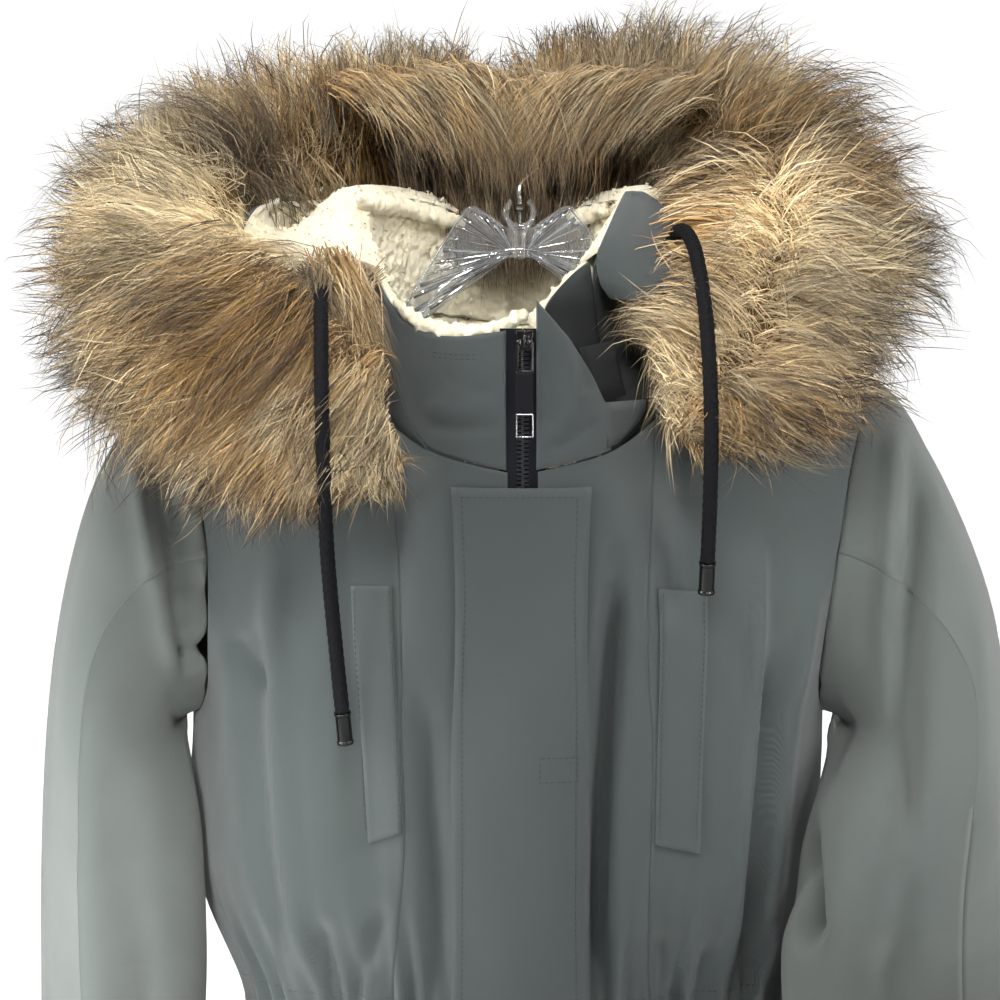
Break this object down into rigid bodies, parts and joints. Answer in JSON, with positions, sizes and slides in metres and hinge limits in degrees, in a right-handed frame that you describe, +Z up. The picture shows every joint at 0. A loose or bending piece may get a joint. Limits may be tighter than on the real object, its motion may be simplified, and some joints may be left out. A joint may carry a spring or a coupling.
{
  "type": "fur trimmed parka on hanger",
  "caption": "Long olive fur trimmed parka with a sherpa-lined stand collar and laid-back hood, black drawcords and zip, on a clear plastic hanger with a wire hook",
  "frame": {"origin": "underside of the crown of the hanger's hook, where it rests on its rail", "axes": "+Z up; the coat's front faces -Y; +X is to the right as seen from the front"},
  "size_m": [0.583, 0.3121, 1.0045],
  "materials": {
    "olive_shell": "smooth woven cotton, matte, grey-green",
    "cream_sherpa": "curly cream pile",
    "tan_fur": "long tan pile with cream roots and dark tips",
    "black_cord": "round braid, black",
    "black_tape": "woven zip tape, black",
    "gunmetal": "dark polished metal",
    "hook_wire": "bright plated steel wire",
    "clear_plastic": "clear, glossy, ribbed"
  },
  "bodies": {
    "root": {"back": "olive_shell", "front_centre_left": "olive_shell", "front_centre_right": "olive_shell", "front_side_left": "olive_shell", "front_side_right": "olive_shell", "sleeve_under_left": "olive_shell", "sleeve_under_right": "olive_shell", "sleeve_upper_left": "olive_shell", "sleeve_upper_right": "olive_shell", "storm_flap": "olive_shell", "welt_left": "olive_shell", "welt_right": "olive_shell", "collar_front_left": "olive_shell", "collar_front_right": "olive_shell", "collar_wing_right": "olive_shell", "hood_left": "olive_shell", "hood_right": "olive_shell", "collar_lining": "cream_sherpa", "hood_lining": "cream_sherpa", "back_neck_facing": "cream_sherpa", "fur_trim_left": "tan_fur", "fur_trim_right": "tan_fur", "drawcord_left": "black_cord", "drawcord_right": "black_cord", "cord_end_left": "gunmetal", "cord_end_right": "gunmetal", "zip_tape_left": "black_tape", "zip_tape_right": "black_tape", "zip_slider": "gunmetal", "hanger_body": "clear_plastic", "hanger_ring": "clear_plastic", "hanger_hook": "hook_wire"},
    "pull": {"zip_pull": "gunmetal"}
  },
  "joints": [
    {"name": "pull_swing", "type": "hinge", "parent": "root", "child": "pull", "pos_m": [0.002, -0.1432, -0.134], "axis": [-1, 0, 0], "range_deg": [0, 150]}
  ]
}
